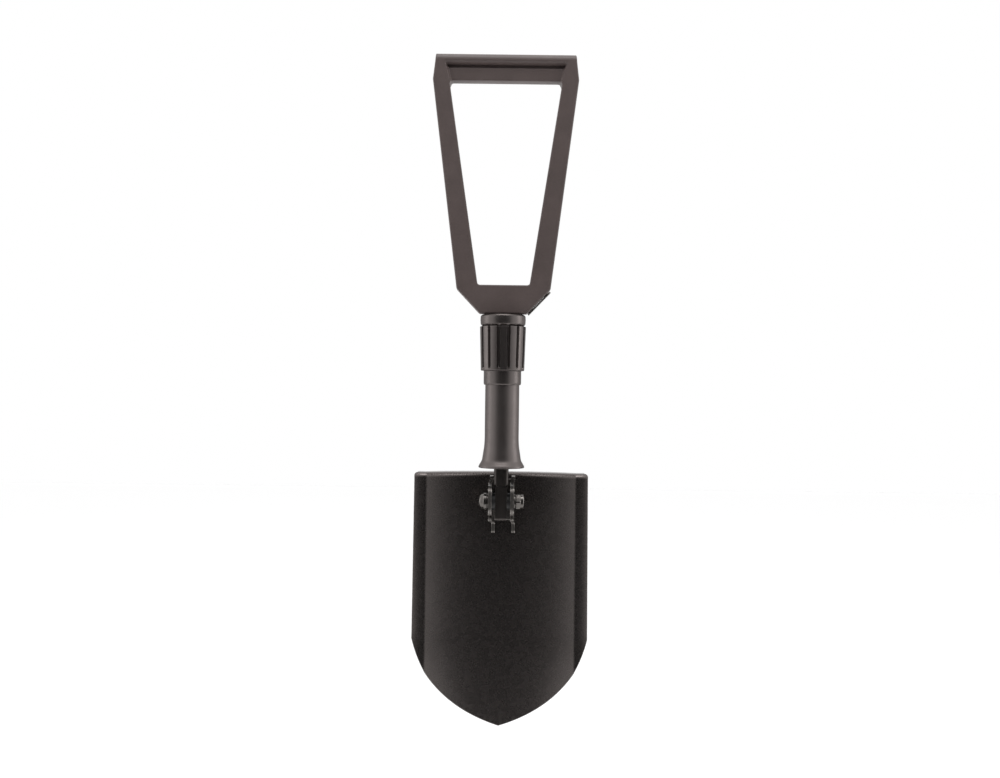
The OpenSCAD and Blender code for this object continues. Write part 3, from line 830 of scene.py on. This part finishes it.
def roll_profile(down):
    if down >= ROLL_Z:
        return HALF_T
    t = 1 - down / ROLL_Z
    return HALF_T * (1 - t ** 2.3) ** (1 / 2.3)


def eased(d, r):
    """Drop of a rounded edge at distance d from it."""
    return 0.0 if d >= r else r - math.sqrt(max(r * r - (r - d) ** 2, 0))


def half_thickness(x, z):
    down = HANDLE_TOP - z
    rail_in = 48.4 + (z - OPENING_TOP) * 0.27
    middle = smooth(rail_in + 1.1, rail_in - 1.1, abs(x)) * smooth(OPENING_TOP - 8, OPENING_TOP - 2, z)
    return lerp(roll_profile(down), grip_profile(down), middle)


def back_face(x, z):
    """Back of the handle; z is above its hinge."""
    y = half_thickness(x, z)
    if z > BASE_TOP + 6:
        return y
    knuckle = math.sqrt(max(SWING_R ** 2 - z * z, 0.6))
    hollow = smooth(SWING_HALF + 1.2, SWING_HALF, abs(x)) * smooth(BASE_TOP + 0.6, BASE_TOP, z)
    y = lerp(y, min(y, knuckle), hollow)
    if abs(x) <= POCKET + 0.001:
        return POCKET_Y
    return y - eased(abs(x) - POCKET, POCKET_EDGE)


class Line:
    """Open polyline that is read by its length."""

    def __init__(self, points):
        self.points = [Vector(p) for p in points]
        self.at_vertex = [0.0]
        for a, b in zip(self.points, self.points[1:]):
            self.at_vertex.append(self.at_vertex[-1] + (b - a).length)

    def at(self, s):
        for i in range(len(self.points) - 1):
            if s <= self.at_vertex[i + 1] + 1e-9:
                t = (s - self.at_vertex[i]) / max(self.at_vertex[i + 1] - self.at_vertex[i], 1e-9)
                return self.points[i].lerp(self.points[i + 1], max(0.0, min(1.0, t)))
        return self.points[-1]

    def nearest(self, p):
        steps = range(int(self.at_vertex[-1] * 4) + 2)
        return min(((self.at(s / 4) - Vector(p)).length, s / 4) for s in steps)[1]


def half_line(corners):
    """Rounded polyline between its first and last points, from a list of (x, z, radius)."""
    first, last = corners[0], corners[-1]
    closed = rounded([*corners, (500, last[1]), (500, first[1])])
    return Line(closed[:-2])


outer = half_line([(0, BASE_BOTTOM), (-BASE_HALF, BASE_BOTTOM, 1.2), (-BASE_SIDE[0], BASE_SIDE[1], 2.0),
                   (-RAIL_SIDE[0], RAIL_SIDE[1], 5.0), (-61.1, HANDLE_TOP, 1.8), (0, HANDLE_TOP)])
inner = half_line([(0, BASE_TOP), (-22.8, BASE_TOP, 2.6), (-49.6, OPENING_TOP, 3.2), (0, OPENING_TOP)])
# Points of the outer and inner edge that face each other.
knots = [((0, BASE_BOTTOM), (0, BASE_TOP)), ((-POCKET, BASE_BOTTOM), (-POCKET, BASE_TOP)),
         ((-8.2, BASE_BOTTOM), (-8.2, BASE_TOP)), ((-BASE_HALF, BASE_BOTTOM), (-20.2, BASE_TOP)),
         ((-BASE_SIDE[0], BASE_SIDE[1]), (-23.4, 16)), ((-61.6, 173), (-47.7, 178)),
         ((-RAIL_SIDE[0], RAIL_SIDE[1]), (-48.7, 184.6)), ((-61.2, HANDLE_TOP), (-47.4, OPENING_TOP - 0.4)),
         ((-52, HANDLE_TOP), (-42, OPENING_TOP)),
         ((0, HANDLE_TOP), (0, OPENING_TOP))]
outer_knots = [outer.nearest(k[0]) for k in knots]
inner_knots = [inner.nearest(k[1]) for k in knots]
outer_knots[0] = inner_knots[0] = 0.0
outer_knots[-1], inner_knots[-1] = outer.at_vertex[-1], inner.at_vertex[-1]


def to_common(s, along):
    """Length along an edge as a position that both edges share, counted in knots."""
    for k in range(len(along) - 1):
        if s <= along[k + 1] + 1e-9:
            return k + (s - along[k]) / (along[k + 1] - along[k])
    return len(along) - 1.0


def from_common(t, along):
    k = min(int(t), len(along) - 2)
    return lerp(along[k], along[k + 1], t - k)


def stations():
    """Pairs of points on the outer and inner edge, down the handle's left half."""
    cuts = {round(to_common(s, outer_knots), 4) for s in outer.at_vertex}
    cuts |= {round(to_common(s, inner_knots), 4) for s in inner.at_vertex}
    for k in range(len(knots) - 1):
        span = max(outer_knots[k + 1] - outer_knots[k], inner_knots[k + 1] - inner_knots[k])
        spacing = {4: 6.0, 8: 1.5}.get(k, 1.0)
        count = max(2, math.ceil(span / spacing))
        cuts |= {round(k + i / count, 4) for i in range(count + 1)}
    for near in (0.12, 0.3, 0.55, 0.75):
        cuts.add(round(to_common(outer.nearest((-POCKET - near, BASE_BOTTOM)), outer_knots), 4))
    kept = []
    for t in sorted(cuts):
        if not kept or t - kept[-1] > 0.004:
            kept.append(t)
    return [(outer.at(from_common(t, outer_knots)), inner.at(from_common(t, inner_knots))) for t in kept]


def across(length):
    """Distances from the outer edge at which a section of the handle is cut."""
    outer_in = [0, 0.1, 0.3, 0.62, 1.0, 1.4]
    inner_in = [1.0, 0.6, 0.3, 0.1, 0]
    count = 32
    middle = [lerp(1.4, length - 1.0, i / count) for i in range(1, count)]
    return outer_in + middle + [length - d for d in inner_in]


def handle_part():
    left = stations()
    ring = left + [(Vector((-o.x, o.y)), Vector((-i.x, i.y))) for o, i in reversed(left[1:-1])]
    rows = []
    for o, i in ring:
        length = (i - o).length
        front, back = [], []
        for d in across(length):
            p = o.lerp(i, d / length)
            top = smooth(HANDLE_TOP - 9, HANDLE_TOP - 2, p.y)
            drop = max(eased(d, 1.4) * (1 - top), eased(length - d, 1.0))
            y0, y1 = -half_thickness(p.x, p.y), back_face(p.x, p.y)
            drop = min(drop, 0.45 * (y1 - y0))
            front.append(Vector((p.x, y0 + drop, p.y + HANDLE_PIVOT_Z)))
            back.append(Vector((p.x, y1 - drop, p.y + HANDLE_PIVOT_Z)))
        rows.append(front + back[::-1])
    return loops(rows)


# Frame on the base's chamfer: X up along it, Y as in the row's frame, Z out of it.
run = Vector((BASE_SIDE[0] - BASE_HALF, BASE_SIDE[1] - BASE_BOTTOM)).normalized()
chamfer = Matrix(((run.x, 0, run.y, BASE_HALF),
                  (0, 1, 0, 0),
                  (run.y, 0, -run.x, BASE_BOTTOM + HANDLE_PIVOT_Z),
                  (0, 0, 0, 1)))
SCREWS = (4.6, 24.4)
SCREW_HOLE_R = 1.42


def at_screws(make):
    """One part at each screw, made round the Z axis of the chamfer's frame."""
    return [moved(make((x, 0, 0)), chamfer) for x in SCREWS]


piece("handle_moulded", [handle_part()], "handle", "handle_group", ["handle_frame"], sharp=45, merge=0.004,
      cuts=[cylinder(BUSH_R + SEAT_GAP, -17.05, 17.05, "x", (0, 0, HANDLE_PIVOT_Z)),
            cylinder(PIN_R + 0.05, -24.5, 45, "x", (0, 0, HANDLE_PIVOT_Z)),
            *at_screws(lambda at: cylinder(SCREW_HOLE_R, -6.5, 11, "z", at, 24))])

retainer = prism(rounded([(0.8, -6, 2), (28.4, -6, 2), (28.4, 6, 2), (0.8, 6, 2)]), 0.5, 1.9, "z")
countersink = [(0, -1), (SCREW_HOLE_R, -1), (SCREW_HOLE_R, 0.8), (2.7, 2.1), (0, 2.1)]
piece("retainer_plate", [moved(retainer, chamfer)], "bracket", "handle_group", ["pin_retainer"], bevel=0.3,
      unions=at_screws(lambda at: cylinder(3.2, 0.02, 1.1, "z", at, 32)),
      cuts=at_screws(lambda at: lathe(countersink, 32, "z", at)))
screw = [(0, -6), (1.0, -6), (1.38, -5.4), (1.38, 0.76), (2.45, 1.68), (2.4, 1.76), (1.15, 1.76), (1.15, 0.9),
         (0, 0.8)]
piece("retainer_screws_m3", at_screws(lambda at: lathe(screw, 32, "z", at)), "fasteners", "handle_group",
      ["retainer_screws"], sharp=30)

# ---------------------------------------------------------------- CAD nodes that stay

kept = {
    "pivot_spacers": "black_plastic", "nut_insert": "nylon", "thrust_ring": "fasteners",
    "thrust_pin": "fasteners", "lower_guide": "black_plastic", "collar_nut": "brass",
    "wiper_ring": "rubber", "handle_bushes": "brass", "handle_pin": "fasteners",
}
for node, finish in kept.items():
    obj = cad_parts[node]
    if not obj.material_slots:
        obj.data.materials.append(MATERIALS[finish])
    for slot in obj.material_slots:
        slot.material = MATERIALS[finish]

# ---------------------------------------------------------------- stage, light and camera

FLOOR_Z = -0.62
floor_mesh = bpy.data.meshes.new("floor")
floor_mesh.from_pydata([(-6, -0.6, FLOOR_Z), (6, -0.6, FLOOR_Z), (6, 6, FLOOR_Z), (-6, 6, FLOOR_Z)], [],
                       [(0, 1, 2, 3)])
floor = bpy.data.objects.new("floor", floor_mesh)
bpy.context.scene.collection.objects.link(floor)
pale = bpy.data.materials.new("pale_floor")
pale.use_nodes = True
pale.node_tree.nodes["Principled BSDF"].inputs["Base Color"].default_value = (0.94, 0.94, 0.94, 1)
pale.node_tree.nodes["Principled BSDF"].inputs["Roughness"].default_value = 0.9
floor_mesh.materials.append(pale)

world = bpy.data.worlds.new("studio")
bpy.context.scene.world = world
world.use_nodes = True
nodes, links = world.node_tree.nodes, world.node_tree.links
nodes.clear()
output = nodes.new("ShaderNodeOutputWorld")
coords = nodes.new("ShaderNodeTexCoord")
split = nodes.new("ShaderNodeSeparateXYZ")
links.new(coords.outputs["Generated"], split.inputs["Vector"])
ahead = nodes.new("ShaderNodeMath")
ahead.operation = "MULTIPLY"
ahead.inputs[1].default_value = -1
links.new(split.outputs["Y"], ahead.inputs[0])
ramp = nodes.new("ShaderNodeValToRGB")
links.new(ahead.outputs[0], ramp.inputs["Fac"])
ramp.color_ramp.interpolation = "EASE"
stops = ((0.0, 1.0), (0.45, 1.0), (0.6, 0.88), (0.72, 0.5), (0.85, 0.08), (1.0, 0.03))
while len(ramp.color_ramp.elements) < len(stops):
    ramp.color_ramp.elements.new(0.5)
for element, (position, value) in zip(ramp.color_ramp.elements, stops):
    element.position = position
    element.color = (value, value, value, 1)
seen = nodes.new("ShaderNodeBackground")
seen.inputs["Color"].default_value = (1, 1, 1, 1)
seen.inputs["Strength"].default_value = 1.0
lit = nodes.new("ShaderNodeBackground")
lit.inputs["Strength"].default_value = 1.15
links.new(ramp.outputs["Color"], lit.inputs["Color"])
path = nodes.new("ShaderNodeLightPath")
choice = nodes.new("ShaderNodeMixShader")
links.new(path.outputs["Is Camera Ray"], choice.inputs["Fac"])
links.new(lit.outputs["Background"], choice.inputs[1])
links.new(seen.outputs["Background"], choice.inputs[2])
links.new(choice.outputs["Shader"], output.inputs["Surface"])


def area_light(name, at, towards, size, power):
    data = bpy.data.lights.new(name, "AREA")
    data.shape = "RECTANGLE"
    data.size, data.size_y = size
    data.energy = power
    obj = bpy.data.objects.new(name, data)
    bpy.context.scene.collection.objects.link(obj)
    obj.location = at
    obj.rotation_euler = (Vector(towards) - Vector(at)).to_track_quat("-Z", "Y").to_euler()


area_light("left_softbox", (-1.9, 0.1, 0.3), (0, 0, 0), (0.8, 1.4), 4)
area_light("right_softbox", (1.9, 0.1, 0.3), (0, 0, 0), (0.8, 1.4), 6)
area_light("top_softbox", (0, -0.5, 1.8), (0, 0, 0.1), (1.4, 1.0), 16)

DISTANCE = 0.95
SENSOR = 36
ROLL = math.radians(0.70)
SPAN = 0.880                        # width of the picture at the shaft's axis
camera_data = bpy.data.cameras.new("camera")
camera_data.sensor_width = SENSOR
camera_data.lens = SENSOR * DISTANCE / SPAN
camera = bpy.data.objects.new("camera", camera_data)
bpy.context.scene.collection.objects.link(camera)
camera.location = (-0.0020, -DISTANCE, 0.0155)
camera.rotation_euler = (Matrix.Rotation(math.radians(90), 3, "X") @ Matrix.Rotation(ROLL, 3, "Z")).to_euler()
bpy.context.scene.camera = camera
bpy.context.scene.view_settings.view_transform = "Standard"
